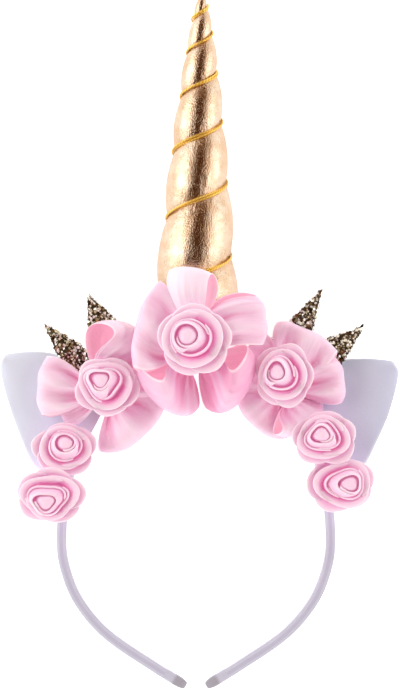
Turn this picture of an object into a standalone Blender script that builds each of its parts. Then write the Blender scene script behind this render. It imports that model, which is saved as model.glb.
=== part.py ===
"""Unicorn horn headband, lying on its back with the flowers up.

The hoop lies flat: +Y runs from the middle of its top to the horn's tip, +X to the right of a front view
and +Z to the faces of the flowers. The origin is the middle of the hoop's top, on the band's back edge.
All lengths below are millimetres, and MM turns them into metres.
"""
import math

import bmesh
import bpy
from mathutils import Vector

MM = 0.001
GAP = 0.3                    # clearance between pieces that touch

# Band: a flat spring under satin ribbon, and the two sleeves on its ends
TEMPLE_HALF_WIDTH = 67.5     # middle of the band, where the hoop is widest
TOP_RISE = 95.0              # from there up to the top of the hoop
BAND_THICKNESS = 5.0
BAND_WIDTH = 10.0
BAND_CORNER = 1.2
SLEEVE_LENGTH = 12.0
SLEEVE_WALL = 0.8
SLEEVE_NOSE = (
    # back from the tip, part of the thickness, part of the width
    (1.6, 0.96, 0.98),
    (0.5, 0.78, 0.88),
    (0.0, 0.45, 0.62),
)
CROWN_STEPS = 6
LOWER_HOOP = (
    # half_width, y
    (65.2, -111.0),
    (58.2, -127.0),
    (44.2, -143.0),
    (20.8, -159.0),
    (15.8, -162.1),              # the mouth of the sleeve
    (5.2, -168.5),
)

# Horn: stuffed foil cloth, drawn in by a cord wound round it
HORN_TIP_Y = 179.5
HORN_LENGTH = HORN_TIP_Y - BAND_THICKNESS / 2 - GAP
HORN_RADIUS = 21.6           # at HORN_RADIUS_DROP below the tip
HORN_RADIUS_DROP = 155.0
HORN_SWELL = 0.62            # power of the profile: under 1 is fuller than a cone
HORN_DEPTH_RATIO = 0.82      # front to back against side to side
HORN_SEAT_DROP = 158.0       # where the bottom starts to round in
HORN_SEAT_ROUND = 27.0
HORN_LEAN = 0.0194           # sideways, towards +X
HORN_LEAN_Y = 25.0           # where the middle line stands at X = 0
HORN_AXIS_HEIGHT = 17.7      # over the table, at the bottom of the horn
HORN_SAG = 0.045             # the tip sinks a little as it lies
HORN_SAG_Y = 20.0
GROOVE_PART = 0.12           # depth of the cord's groove as a part of the radius
GROOVE_LEAST = 0.2
PUFF_POWER = 0.6             # under 1 is rounder between the grooves
HORN_SIDES = 16
HORN_ROWS = 5                # rows between one groove and the next
HORN_TIP_TURN = -1.33
HORN_TIP_CAP = 0.4
CORD_RADIUS = 0.9
CORD_LIFT = 0.4              # over its clearance, since it bridges the groove's sides
CORD_TURNS = (-0.55, 5.1)
CORD_FIRST_DROP = 13.5       # below the tip at turn 0
CORD_PITCH = 13.75
CORD_PITCH_GROWTH = 2.8      # the turns stand further apart down the horn

# Soft trim
EAR_THICKNESS = 2.0
GLITTER_THICKNESS = 1.0
RIBBON_THICKNESS = 1.0
RIBBON_ROOT = 3.8            # where a loop starts, inside the bow's middle
RIBBON_ROOT_WIDTH = 3.4
RIBBON_ROOT_GAP = 0.9        # half the space between the two layers of a loop at its root
RIBBON_CROWN = 1.2           # the middle of a loop stands this much over its edges
LOOP_STATIONS = 12
LOOP_COLUMNS = 2
BOW_MIDDLE = (
    # radius, part of the height
    (5.0, 0.0),
    (5.8, 0.25),
    (5.8, 0.75),
    (4.8, 1.0),
)
BOW_MIDDLE_SIDES = 10
ROSE_SIDES = 14
ROSE_LEAN_END = 4.0          # below the open petals, where the rose has leaned all the way out

LEFT_EAR = (
    # outer_x, outer_y, inner_x, inner_y, drop
    (-63.0, -62.0, -42.0, -22.0, 0.0),
    (-74.0, -62.0, -48.0, -13.0, 0.0),
    (-82.0, -57.5, -57.5, -6.5, 0.0),
    (-88.0, -44.0, -67.0, -2.8, 0.6),
    (-93.0, -30.0, -77.0, -0.8, 1.6),
    (-96.6, -16.5, -88.0, -1.3, 2.6),
    (-98.0, -6.0, -96.2, -3.0, 3.4),
)
RIGHT_EAR_SHIFT = (3.2, -3.5)    # the right ear's tip stands further out and lower
EAR_CROWN = 2.2                  # the middle stands this much over the edges
EAR_COLUMNS = 4

# Glitter points: height of the underside, then the outline as x and y
GLITTER_POINTS = {
    "glitter_point_left_upper": (12.6, (
        (-54.3, 28.0), (-54.0, 7.0), (-50.0, -14.0), (-47.5, -21.0),
        (-42.5, -21.0), (-36.0, -8.0), (-31.5, 5.0), (-42.5, 17.5))),
    "glitter_point_left_lower": (13.9, (
        (-76.0, 13.0), (-73.0, 6.0), (-69.5, -2.0), (-63.5, -9.0),
        (-49.0, -24.5), (-43.0, -21.0), (-49.0, -7.0), (-57.8, 2.5), (-69.5, 9.6))),
    "glitter_point_right_upper": (12.6, (
        (63.0, 30.5), (49.5, 17.0), (38.0, 5.5), (41.0, -19.0),
        (47.0, -19.0), (53.0, -6.0), (58.5, 11.0), (60.0, 17.0))),
    "glitter_point_right_lower": (13.9, (
        (84.0, 12.9), (78.0, 9.5), (67.2, 6.5), (52.0, -6.0),
        (42.0, -20.0), (48.0, -23.5), (60.0, -17.0), (70.5, -10.0), (76.8, -1.0))),
}

# Bows: the gathered middle, then a row for each loop of ribbon
BOW_CENTRES = {
    # name: x, y, underside, top
    "bow_centre": (-1.5, -4.5, 10.3, 34.0),
    "bow_left": (-45.0, -22.0, 15.2, 22.0),
    "bow_right": (44.0, -21.0, 15.2, 22.0),
}
BOW_LOOPS = {
    # angle, reach, width, slant, root_z, end_z, puff
    "bow_centre": (
        (90.0, 45.5, 25.0, -8.0, 30.5, 40.5, 3.4),
        (140.5, 33.0, 38.0, 20.0, 30.5, 40.0, 3.6),
        (28.0, 39.5, 24.0, -17.0, 30.5, 40.0, 3.6),
        (-43.0, 29.5, 33.0, -6.0, 30.0, 28.0, 4.0),
        (-126.0, 28.0, 29.0, 4.0, 30.0, 27.3, 3.8),
    ),
    "bow_left": (
        (172.0, 34.0, 28.0, 3.0, 19.0, 20.5, 3.6),
        (82.0, 37.5, 28.0, 0.0, 19.0, 21.0, 3.6),
        (-47.0, 28.0, 36.0, 0.0, 18.5, 17.0, 3.0),
        (-151.0, 24.5, 12.0, 0.0, 18.5, 17.4, 2.0),
        (4.0, 27.0, 20.0, 0.0, 18.7, 18.0, 2.4),
    ),
    "bow_right": (
        (67.5, 33.0, 32.0, -3.0, 19.0, 21.0, 3.6),
        (14.0, 30.5, 24.0, -3.0, 19.0, 21.2, 3.6),
        (-71.0, 20.0, 15.0, 0.0, 18.5, 18.0, 3.0),
        (-139.0, 23.5, 29.0, 0.0, 18.5, 17.6, 3.0),
        (176.0, 24.0, 18.0, 0.0, 18.5, 18.5, 2.4),
    ),
}

# Roses: foot on what carries them, then the middle, height and half widths of the open petals
ROSES = {
    # name: foot_x, foot_y, foot_z, x, y, z, half_width_x, half_width_y, turn
    "rose_centre": (-1.5, -4.5, 34.3, -0.3, 4.8, 48.0, 18.4, 18.0, 20.0),
    "rose_left_upper": (-45.0, -22.0, 22.3, -44.0, -18.5, 33.0, 16.6, 14.9, 55.0),
    "rose_left_middle": (-59.5, -50.0, 12.6, -65.5, -49.6, 22.5, 16.2, 13.8, 90.0),
    "rose_left_lower": (-65.5, -71.5, 10.3, -72.2, -72.0, 27.5, 17.9, 14.0, 10.0),
    "rose_right_upper": (44.0, -21.0, 22.3, 44.5, -13.0, 33.0, 14.9, 16.2, 0.0),
    "rose_right_middle": (57.5, -45.0, 12.6, 64.3, -44.2, 27.5, 16.4, 13.6, 90.0),
    "rose_right_lower": (64.5, -66.5, 10.3, 71.8, -66.8, 22.5, 17.6, 14.6, 30.0),
}
ROSE_PROFILE = (
    # part of the open petals' half width, height over the foot or over the open petals, lobes, how many
    (0.24, "foot", 0.0, 0.00, 5),
    (0.30, "foot", 2.4, 0.00, 5),
    (0.61, "petals", -4.6, 0.02, 5),
    (0.86, "petals", -2.4, 0.05, 5),
    (1.00, "petals", 0.2, 0.08, 5),
    (0.95, "petals", 1.0, 0.08, 5),
    (0.60, "petals", -0.8, 0.03, 5),
    (0.55, "petals", 3.6, 0.05, 3),
    (0.58, "petals", 6.4, 0.07, 3),
    (0.50, "petals", 7.0, 0.07, 3),
    (0.36, "petals", 2.8, 0.04, 3),
    (0.30, "petals", 7.0, 0.05, 3),
    (0.13, "petals", 9.8, 0.00, 3),
)


def clear_scene():
    for item in list(bpy.data.objects):
        bpy.data.objects.remove(item, do_unlink=True)


def finish(name, colour, roughness, metallic=0.0):
    """A plain material in the piece's own colour."""
    material = bpy.data.materials.new(name)
    material.use_nodes = True
    shader = material.node_tree.nodes["Principled BSDF"]
    shader.inputs["Base Color"].default_value = (*colour, 1.0)
    shader.inputs["Roughness"].default_value = roughness
    shader.inputs["Metallic"].default_value = metallic
    return material


def place(name, data, material, collection):
    """Put a mesh or a curve in a collection as one named object."""
    piece = bpy.data.objects.new(name, data)
    piece.data.materials.append(material)
    collection.objects.link(piece)
    if piece.type == "MESH":
        piece.data.shade_smooth()
        piece.data.set_sharp_from_angle(angle=math.radians(40))
    return piece


def as_guide(piece):
    """Keep an object that only feeds a modifier out of the model."""
    piece.hide_render = True
    piece.display_type = "WIRE"


def mesh_from(name, build):
    """Run build on an empty bmesh, turn every face outwards, and keep the result."""
    shape = bmesh.new()
    build(shape)
    bmesh.ops.recalc_face_normals(shape, faces=shape.faces)
    mesh = bpy.data.meshes.new(name)
    shape.to_mesh(mesh)
    shape.free()
    return mesh


def loft(name, rings):
    """One closed skin over equal rings of points, with a flat face on each end."""
    def build(shape):
        loops = [[shape.verts.new(Vector(point) * MM) for point in ring] for ring in rings]
        sides = len(loops[0])
        for lower, upper in zip(loops, loops[1:]):
            for side in range(sides):
                after = (side + 1) % sides
                shape.faces.new((lower[side], lower[after], upper[after], upper[side]))
        shape.faces.new(loops[0])
        shape.faces.new(loops[-1])
    return mesh_from(name, build)


def cloth(name, rows, thickness, material, collection):
    """An open sheet through rows of points, given its thickness by Solidify."""
    def build(shape):
        lines = [[shape.verts.new(Vector(point) * MM) for point in row] for row in rows]
        for here, after in zip(lines, lines[1:]):
            for side in range(len(here) - 1):
                shape.faces.new((here[side], here[side + 1], after[side + 1], after[side]))
    piece = place(name, mesh_from(name, build), material, collection)
    wall = piece.modifiers.new("wall", "SOLIDIFY")
    wall.thickness = thickness * MM
    wall.offset = 0.0
    return piece


def smooth_step(part):
    part = min(max(part, 0.0), 1.0)
    return part * part * (3.0 - 2.0 * part)


def smooth_route(knots, steps):
    """A Catmull-Rom curve through flat knots, with a number of steps in each span."""
    first = knots[0] * 2 - knots[1]
    last = knots[-1] * 2 - knots[-2]
    padded = [first, *knots, last]
    route = []
    for before, start, end, after in zip(padded, padded[1:], padded[2:], padded[3:]):
        for step in range(steps):
            part = step / steps
            route.append(0.5 * (
                start * 2
                + (end - before) * part
                + (before * 2 - start * 5 + end * 4 - after) * part ** 2
                + (start * 3 - before - end * 3 + after) * part ** 3))
    route.append(knots[-1].copy())
    return route


def hoop_route():
    """Middle of the band, from the left tip over the top to the right tip."""
    knots = []
    for step in range(CROWN_STEPS + 1):
        angle = math.radians(90.0 * step / CROWN_STEPS)
        knots.append(Vector((TEMPLE_HALF_WIDTH * math.sin(angle), TOP_RISE * (math.cos(angle) - 1.0))))
    knots += [Vector(row) for row in LOWER_HOOP]
    mirrored = [Vector((-knot.x, knot.y)) for knot in reversed(knots[1:])]
    return smooth_route(mirrored + knots, 2)


def band_ring(point, along, half_thickness, half_width):
    """An eight-sided section of the band, square to its route."""
    across = Vector((-along.y, along.x))
    corner = min(BAND_CORNER, half_thickness * 0.6)
    ring = []
    for side, rise in ((1, -1), (1, 1), (-1, 1), (-1, -1)):
        square = [(half_thickness, half_width - corner), (half_thickness - corner, half_width)]
        for thick, wide in square if side == rise else reversed(square):
            spot = point + across * (side * thick)
            ring.append((spot.x, spot.y, BAND_WIDTH / 2 + rise * wide))
    return ring


def directions(route):
    """The direction of the route at each of its points."""
    ends = [route[0] * 2 - route[1], *route, route[-1] * 2 - route[-2]]
    return [(after - before).normalized() for before, after in zip(ends, ends[2:])]


def make_band(satin, sleeve_cloth, collection):
    """The band with a slim tongue on each end, and a sleeve over each tongue."""
    half_thickness = BAND_THICKNESS / 2
    half_width = BAND_WIDTH / 2
    slim = SLEEVE_WALL + GAP
    route = hoop_route()
    ways = directions(route)
    tip = len(route) - 1
    mouth = next(i for i in range(tip, 0, -1) if (route[tip] - route[i]).length > SLEEVE_LENGTH)

    rings = []
    for index in range(tip - mouth, mouth + 1):
        rings.append(band_ring(route[index], ways[index], half_thickness, half_width))
    for index, last in ((tip - mouth, 0), (mouth, tip)):
        shoulder = band_ring(route[index], ways[index], half_thickness - slim, half_width - slim)
        end = route[last] + (route[index] - route[last]).normalized() * (SLEEVE_WALL * 2 + GAP)
        tongue = band_ring(end, ways[last], half_thickness - slim, half_width - slim)
        if last:
            rings += [shoulder, tongue]
        else:
            rings = [tongue, shoulder] + rings
    place("headband", loft("headband", rings), satin, collection)

    for name, index, last in (("end_sleeve_left", tip - mouth, 0), ("end_sleeve_right", mouth, tip)):
        into = (route[last] - route[index]).normalized()
        way = ways[last]
        start = route[index] + into * GAP
        deep = route[last] - into * (SLEEVE_WALL * 2)
        inner = (half_thickness - SLEEVE_WALL, half_width - SLEEVE_WALL)
        sleeve = [
            band_ring(deep, way, *inner),
            band_ring(start, ways[index], *inner),
            band_ring(start, ways[index], half_thickness, half_width),
        ]
        for back, thick, wide in SLEEVE_NOSE:
            spot = route[last] - into * back
            sleeve.append(band_ring(spot, way, half_thickness * thick, half_width * wide))
        place(name, loft(name, sleeve), sleeve_cloth, collection)


def cord_drop(turn):
    """How far below the horn's tip the cord lies after so many turns."""
    return CORD_FIRST_DROP + CORD_PITCH * turn + CORD_PITCH_GROWTH * turn ** 2


def seat_turn():
    """The turn at which the cord would reach the horn's bottom."""
    below = HORN_LENGTH - CORD_FIRST_DROP
    root = math.sqrt(CORD_PITCH ** 2 + 4.0 * CORD_PITCH_GROWTH * below)
    return (root - CORD_PITCH) / (2.0 * CORD_PITCH_GROWTH)


def horn_point(angle_turn, turn, out=0.0):
    """A point of the horn's skin, or out from it, at an angle in turns and a level in cord turns."""
    drop = min(max(cord_drop(turn), HORN_TIP_CAP), HORN_LENGTH)
    radius = HORN_RADIUS * (drop / HORN_RADIUS_DROP) ** HORN_SWELL
    groove = GROOVE_PART * radius + GROOVE_LEAST
    bulge = math.sin(math.pi * ((turn - angle_turn) % 1.0)) ** PUFF_POWER
    radius -= groove * (1.0 - bulge)
    if drop > HORN_SEAT_DROP:
        radius *= math.sqrt(1.0 - ((drop - HORN_SEAT_DROP) / HORN_SEAT_ROUND) ** 2)
    radius += out
    y = HORN_TIP_Y - drop
    angle = 2.0 * math.pi * angle_turn
    axis_height = HORN_AXIS_HEIGHT - HORN_SAG * max(y - HORN_SAG_Y, 0.0)
    return Vector((
        HORN_LEAN * (y - HORN_LEAN_Y) - radius * math.cos(angle),
        y,
        axis_height - radius * HORN_DEPTH_RATIO * math.sin(angle)))


def make_horn(foil, gold_cord, collection):
    """The puffed skin, whose rows follow the cord, and the cord in its groove."""
    bottom = seat_turn()

    def build(shape):
        found = {}

        def corner(step, row):
            if row == HORN_ROWS:
                step, row = step + HORN_SIDES, 0
            if (step, row) not in found:
                turn = min(max(step / HORN_SIDES + row / HORN_ROWS, HORN_TIP_TURN), bottom)
                found[step, row] = shape.verts.new(horn_point(step / HORN_SIDES, turn) * MM)
            return found[step, row]

        first = math.floor((HORN_TIP_TURN - 1.0) * HORN_SIDES)
        last = math.ceil(bottom * HORN_SIDES)
        for step in range(first, last):
            for row in range(HORN_ROWS):
                shape.faces.new((
                    corner(step, row), corner(step + 1, row),
                    corner(step + 1, row + 1), corner(step, row + 1)))
        bmesh.ops.remove_doubles(shape, verts=shape.verts, dist=1e-6)
        bmesh.ops.dissolve_degenerate(shape, edges=shape.edges, dist=1e-6)
        bmesh.ops.holes_fill(shape, edges=[edge for edge in shape.edges if edge.is_boundary])

    place("horn", mesh_from("horn", build), foil, collection)

    winding = bpy.data.curves.new("horn_cord", "CURVE")
    winding.dimensions = "3D"
    winding.bevel_depth = CORD_RADIUS * MM
    winding.bevel_resolution = 2
    winding.use_fill_caps = True
    steps = range(math.ceil(CORD_TURNS[0] * HORN_SIDES), math.floor(CORD_TURNS[1] * HORN_SIDES) + 1)
    spline = winding.splines.new("POLY")
    spline.points.add(len(steps) - 1)
    lift = CORD_RADIUS + GAP + CORD_LIFT
    for point, step in zip(spline.points, steps):
        turn = step / HORN_SIDES
        point.co = (*(horn_point(turn, turn, lift) * MM), 1.0)
    place("horn_cord", winding, gold_cord, collection)


def make_ears(felt, collection):
    """Two felt ears on the front of the band, a little domed and bent back at the tips."""
    level = BAND_WIDTH + GAP + EAR_THICKNESS / 2
    for name, side in (("ear_left", 1), ("ear_right", -1)):
        rows = []
        for index, (outer_x, outer_y, inner_x, inner_y, drop) in enumerate(LEFT_EAR):
            reach = index / (len(LEFT_EAR) - 1)
            shift = min(1.0, reach * 1.5) if side < 0 else 0.0
            row = []
            for column in range(EAR_COLUMNS + 1):
                part = column / EAR_COLUMNS
                x = (outer_x + (inner_x - outer_x) * part) * side + RIGHT_EAR_SHIFT[0] * shift
                y = outer_y + (inner_y - outer_y) * part + RIGHT_EAR_SHIFT[1] * shift
                edge = (2.0 * part - 1.0) ** 2 * min(1.0, drop)
                row.append((x, y, level - drop - EAR_CROWN * edge))
            rows.append(row)
        cloth(name, rows, EAR_THICKNESS, felt, collection)


def make_glitter_points(glitter, collection):
    """Flat pointed pieces, stacked under the bows."""
    for name, (underside, outline) in GLITTER_POINTS.items():
        flat = bpy.data.curves.new(name, "CURVE")
        flat.dimensions = "2D"
        flat.fill_mode = "BOTH"
        flat.extrude = GLITTER_THICKNESS / 2 * MM
        spline = flat.splines.new("POLY")
        spline.points.add(len(outline) - 1)
        spline.use_cyclic_u = True
        for point, (x, y) in zip(spline.points, outline):
            point.co = (x * MM, y * MM, 0.0, 1.0)
        piece = place(name, flat, glitter, collection)
        piece.location.z = (underside + GLITTER_THICKNESS / 2) * MM


def ribbon_loop(name, centre, loop, material, collection):
    """One loop of ribbon: out along the underside, round the fold and back over the top."""
    angle, reach, width, slant, root_z, end_z, puff = loop
    out = Vector((math.cos(math.radians(angle)), math.sin(math.radians(angle))))
    rows = []
    for station in range(LOOP_STATIONS + 1):
        around = 2.0 * math.pi * station / LOOP_STATIONS
        run = RIBBON_ROOT + (reach - RIBBON_ROOT) * math.sin(around / 2) ** 0.8
        spread_part = max(run - RIBBON_ROOT - 1.5, 0.0) / (reach - RIBBON_ROOT - 1.5)
        opened = math.sin(min(spread_part * 1.2, 1.0) * math.pi / 2)
        middle = root_z + (end_z - root_z) * smooth_step(run / (reach * 0.5))
        layer = -math.sin(around) * puff * smooth_step(run / reach * 1.2)
        layer -= RIBBON_ROOT_GAP * math.cos(around / 2)
        turned = math.radians(angle + 90.0 + slant * opened)
        across = Vector((math.cos(turned), math.sin(turned)))
        spread = RIBBON_ROOT_WIDTH + (width - RIBBON_ROOT_WIDTH) * opened
        row = []
        for column in range(LOOP_COLUMNS + 1):
            part = 2.0 * column / LOOP_COLUMNS - 1.0
            spot = Vector(centre) + out * run + across * (spread * 0.5 * part)
            row.append((spot.x, spot.y, middle + layer - RIBBON_CROWN * opened * part ** 2))
        rows.append(row)
    loop_piece = cloth(name, rows, RIBBON_THICKNESS, material, collection)
    as_guide(loop_piece)
    return loop_piece


def make_bows(satin, collection, guides):
    """Each bow is one ribbon: a gathered middle with its loops grown from it."""
    for name, (x, y, underside, top) in BOW_CENTRES.items():
        rings = []
        for radius, part in BOW_MIDDLE:
            level = underside + (top - underside) * part
            ring = []
            for side in range(BOW_MIDDLE_SIDES):
                angle = 2.0 * math.pi * side / BOW_MIDDLE_SIDES
                ring.append((x + radius * math.cos(angle), y + radius * math.sin(angle), level))
            rings.append(ring)
        bow = place(name, loft(name, rings), satin, collection)
        for number, loop in enumerate(BOW_LOOPS[name], start=1):
            loop_piece = ribbon_loop(f"{name}_loop_{number}", (x, y), loop, satin, guides)
            union = bow.modifiers.new(f"loop_{number}", "BOOLEAN")
            union.operation = "UNION"
            union.solver = "EXACT"
            union.object = loop_piece


def make_roses(foam, collection):
    """Each rose is one lobed, turned form: open petals, a cup of closed ones and the bud."""
    for name, (foot_x, foot_y, foot_z, x, y, z, half_x, half_y, turn) in ROSES.items():
        rings = []
        for width, base, height, lobe, lobes in ROSE_PROFILE:
            level = foot_z + height if base == "foot" else z + height
            lean = smooth_step((level - foot_z) / (z - ROSE_LEAN_END - foot_z))
            middle_x = foot_x + (x - foot_x) * lean
            middle_y = foot_y + (y - foot_y) * lean
            ring = []
            for side in range(ROSE_SIDES):
                angle = 2.0 * math.pi * side / ROSE_SIDES
                petal = 1.0 - lobe + lobe * abs(math.cos(lobes / 2 * (angle - math.radians(turn)))) ** 0.7
                ring.append((
                    middle_x + half_x * width * petal * math.cos(angle),
                    middle_y + half_y * width * petal * math.sin(angle),
                    level))
            rings.append(ring)
        place(name, loft(name, rings), foam, collection)


def main():
    clear_scene()
    model = bpy.data.collections.new("unicorn_horn_headband")
    guides = bpy.data.collections.new("guides")
    bpy.context.scene.collection.children.link(model)
    bpy.context.scene.collection.children.link(guides)

    make_band(
        finish("lavender_satin", (0.62, 0.60, 0.69), 0.42),
        finish("grey_sleeve", (0.40, 0.38, 0.44), 0.55), model)
    make_horn(
        finish("gold_foil", (0.78, 0.60, 0.36), 0.28, 0.9),
        finish("gold_cord", (0.83, 0.55, 0.10), 0.35, 0.8), model)
    make_ears(finish("pale_felt", (0.72, 0.73, 0.82), 0.85), model)
    make_glitter_points(finish("gold_glitter", (0.30, 0.24, 0.12), 0.30, 0.7), model)
    make_bows(finish("pink_satin", (0.90, 0.48, 0.63), 0.35), model, guides)
    make_roses(finish("pink_foam", (0.92, 0.52, 0.68), 0.70), model)


main()
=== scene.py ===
"""Looks of the unicorn horn headband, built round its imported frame.

The headband lies on its back: +Y runs to the horn's tip, +X to the right of the front view and +Z to the
faces of the flowers. Sizes are millimetres, and MM turns them into metres.
"""
import math
from collections import namedtuple

import bmesh
import bpy
import numpy as np
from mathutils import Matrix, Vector


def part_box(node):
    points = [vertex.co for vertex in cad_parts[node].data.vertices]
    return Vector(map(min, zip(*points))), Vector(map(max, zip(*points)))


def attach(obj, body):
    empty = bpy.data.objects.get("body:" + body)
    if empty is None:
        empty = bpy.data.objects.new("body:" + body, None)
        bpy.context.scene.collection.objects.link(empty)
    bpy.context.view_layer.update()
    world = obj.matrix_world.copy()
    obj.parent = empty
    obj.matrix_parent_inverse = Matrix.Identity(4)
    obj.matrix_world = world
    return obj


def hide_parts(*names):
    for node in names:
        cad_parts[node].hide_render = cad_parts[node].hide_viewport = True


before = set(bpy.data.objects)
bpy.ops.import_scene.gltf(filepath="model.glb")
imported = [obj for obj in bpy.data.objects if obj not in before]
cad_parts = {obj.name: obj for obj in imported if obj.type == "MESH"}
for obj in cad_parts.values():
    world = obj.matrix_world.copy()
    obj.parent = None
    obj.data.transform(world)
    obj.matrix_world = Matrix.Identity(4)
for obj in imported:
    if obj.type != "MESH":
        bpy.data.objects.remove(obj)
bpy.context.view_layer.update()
MM = 0.001

# Camera
# The photograph looks straight at the flowers, so the camera stands high over the headband with a long lens.
# A pixel of the 400 x 692 picture is half a millimetre of the headband.
PICTURE_HEIGHT = 692
PIXEL = 0.5
VIEW_MIDDLE = (2.0, 2.0)
FLOWER_LEVEL = 20.0
CAMERA_HEIGHT = 4000.0
SENSOR = 36.0


def placed(name, data):
    """A new object in the scene."""
    thing = bpy.data.objects.new(name, data)
    bpy.context.scene.collection.objects.link(thing)
    return thing


camera_data = bpy.data.cameras.new("camera")
camera_data.sensor_width = SENSOR
camera_data.lens = SENSOR * (CAMERA_HEIGHT - FLOWER_LEVEL) / (PICTURE_HEIGHT * PIXEL)
camera = placed("camera", camera_data)
camera.location = (VIEW_MIDDLE[0] * MM, VIEW_MIDDLE[1] * MM, CAMERA_HEIGHT * MM)
bpy.context.scene.camera = camera


# Studio
# A white table, pale walls, a soft box on three sides, and a long dark strip of ceiling behind the camera.
# The strip draws the brown line down the middle of the foil horn.
TABLE_HALF = 60.0                    # metres
TABLE_GLOW = 0.66
WALL_LIGHT = 1.42
STRIP_LENGTHWAYS = 0.25              # 1 would make the dark part round, and less draws it out along Y
SKY = (
    # cosine of the sideways angle from straight up, colour
    (0.0, "#D6D8DC"),
    (0.3, "#FFFFFF"),
    (0.70, "#FCFBFC"),
    (0.765, "#E7B487"),
    (0.82, "#754614"),
    (0.90, "#462505"),
)
SOFT_BOXES = (
    # name, sideways, along, height, width, length, watts, all in metres but the last
    ("left_box", -1.5, 0.5, 1.3, 1.2, 1.8, 14.0),
    ("right_box", 1.5, 0.2, 1.2, 1.2, 1.8, 8.0),
    ("low_box", 0.0, -1.5, 1.2, 1.6, 0.9, 4.0),
)


def paint(code):
    """The linear colour of a #RRGGBB code."""
    shares = [int(code[i:i + 2], 16) / 255 for i in (1, 3, 5)]
    return (*[s / 12.92 if s <= 0.04045 else ((s + 0.055) / 1.055) ** 2.4 for s in shares], 1.0)


class Wire:
    """An output socket that Python's operators work on, each of which adds one Math node."""

    def __init__(self, tree, socket):
        self.tree = tree
        self.socket = socket

    def __add__(self, other):
        return self.tree.maths("ADD", self, other)

    def __radd__(self, other):
        return self.tree.maths("ADD", other, self)

    def __sub__(self, other):
        return self.tree.maths("SUBTRACT", self, other)

    def __rsub__(self, other):
        return self.tree.maths("SUBTRACT", other, self)

    def __mul__(self, other):
        return self.tree.maths("MULTIPLY", self, other)

    def __rmul__(self, other):
        return self.tree.maths("MULTIPLY", other, self)

    def __truediv__(self, other):
        return self.tree.maths("DIVIDE", self, other)

    def __rtruediv__(self, other):
        return self.tree.maths("DIVIDE", other, self)

    def __pow__(self, other):
        return self.tree.maths("POWER", self, other)

    def other(self, name):
        """Another output of the same node."""
        return Wire(self.tree, self.socket.node.outputs[name])


class Tree:
    """A node tree written as expressions.

    node() adds any node: its settings first, then its sockets. A colour is given as its #RRGGBB code.
    """

    def __init__(self, tree):
        self.tree = tree
        tree.nodes.clear()

    def node(self, kind, settings=(), sockets=(), output=0):
        made = self.tree.nodes.new(kind)
        for name, value in dict(settings).items():
            if name == "stops":
                ramp = made.color_ramp
                while len(ramp.elements) < len(value):
                    ramp.elements.new(1.0)
                for stop, (position, code) in zip(ramp.elements, value):
                    stop.position = position
                    stop.color = paint(code)
            else:
                setattr(made, name, value)
        for name, value in dict(sockets).items():
            if isinstance(value, Wire):
                self.tree.links.new(value.socket, made.inputs[name])
            elif isinstance(value, str) and value.startswith("#"):
                made.inputs[name].default_value = paint(value)
            else:
                made.inputs[name].default_value = value
        return Wire(self, made.outputs[output]) if made.outputs else None

    def maths(self, operation, *values):
        return self.node("ShaderNodeMath", {"operation": operation}, enumerate(values))

    def step(self, value, low, high):
        """0 under low, 1 over high, and a smooth step between."""
        return self.node(
            "ShaderNodeMapRange", {"interpolation_type": "SMOOTHSTEP"}, {0: value, 1: low, 2: high})

    def tint(self, factor, low, high):
        """A colour between two colours."""
        return self.node("ShaderNodeMix", {"data_type": "RGBA"}, {0: factor, 6: low, 7: high}, 2)

    def parts(self, vector):
        """The three parts of a vector as wires."""
        first = self.node("ShaderNodeSeparateXYZ", (), {0: vector})
        return [Wire(self, socket) for socket in first.socket.node.outputs]

    def vector(self, x, y, z):
        return self.node("ShaderNodeCombineXYZ", (), {0: x, 1: y, 2: z})

    def noise(self, place, scale, detail=2.0, roughness=0.5):
        return self.node(
            "ShaderNodeTexNoise", (),
            {"Vector": place, "Scale": scale, "Detail": detail, "Roughness": roughness})

    def wave(self, place, length=1.0):
        """A sine wave between 0 and 1."""
        return self.maths("SINE", place * (2.0 * math.pi / length)) * 0.5 + 0.5

    def ramp(self, factor, stops):
        """A colour from stops, each a position and a colour."""
        return self.node("ShaderNodeValToRGB", {"stops": stops}, {"Fac": factor})

    def mark(self, name):
        """A value kept at the mesh's points."""
        return self.node("ShaderNodeAttribute", {"attribute_name": name}, (), "Fac")

    def place(self):
        """The object's own coordinates."""
        return self.node("ShaderNodeTexCoord", (), (), "Object")

    def bump(self, height, strength, distance):
        """A normal that follows a height, with the distance in millimetres."""
        return self.node("ShaderNodeBump", (), {
            "Strength": strength, "Distance": distance * MM, "Height": height}, "Normal")

    def kept(self, shape, name, value, domain="POINT"):
        """A shape with a value kept under a name."""
        return self.node("GeometryNodeStoreNamedAttribute", {"domain": domain}, {
            "Geometry": shape, "Name": name, "Value": value})

    def joined(self, *shapes):
        """Shapes as one."""
        made = self.tree.nodes.new("GeometryNodeJoinGeometry")
        for shape in shapes:
            self.tree.links.new(shape.socket, made.inputs[0])
        return Wire(self, made.outputs[0])

    def random(self, low, high, seed):
        """A random number for each point or instance."""
        return self.node("FunctionNodeRandomValue", {"data_type": "FLOAT"}, {
            2: low, 3: high, "Seed": seed}, 1)


studio = bpy.data.worlds.new("studio")
studio.use_nodes = True
bpy.context.scene.world = studio
tree = Tree(studio.node_tree)
x, y, up = tree.parts(tree.node("ShaderNodeTexCoord", (), (), "Generated"))
aside = up / tree.maths("SQRT", up * up + x * x + y * y * STRIP_LENGTHWAYS)
sky = tree.node("ShaderNodeBackground", (), {"Color": tree.ramp(aside, SKY), "Strength": WALL_LIGHT})
tree.node("ShaderNodeOutputWorld", (), {"Surface": sky})

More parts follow.
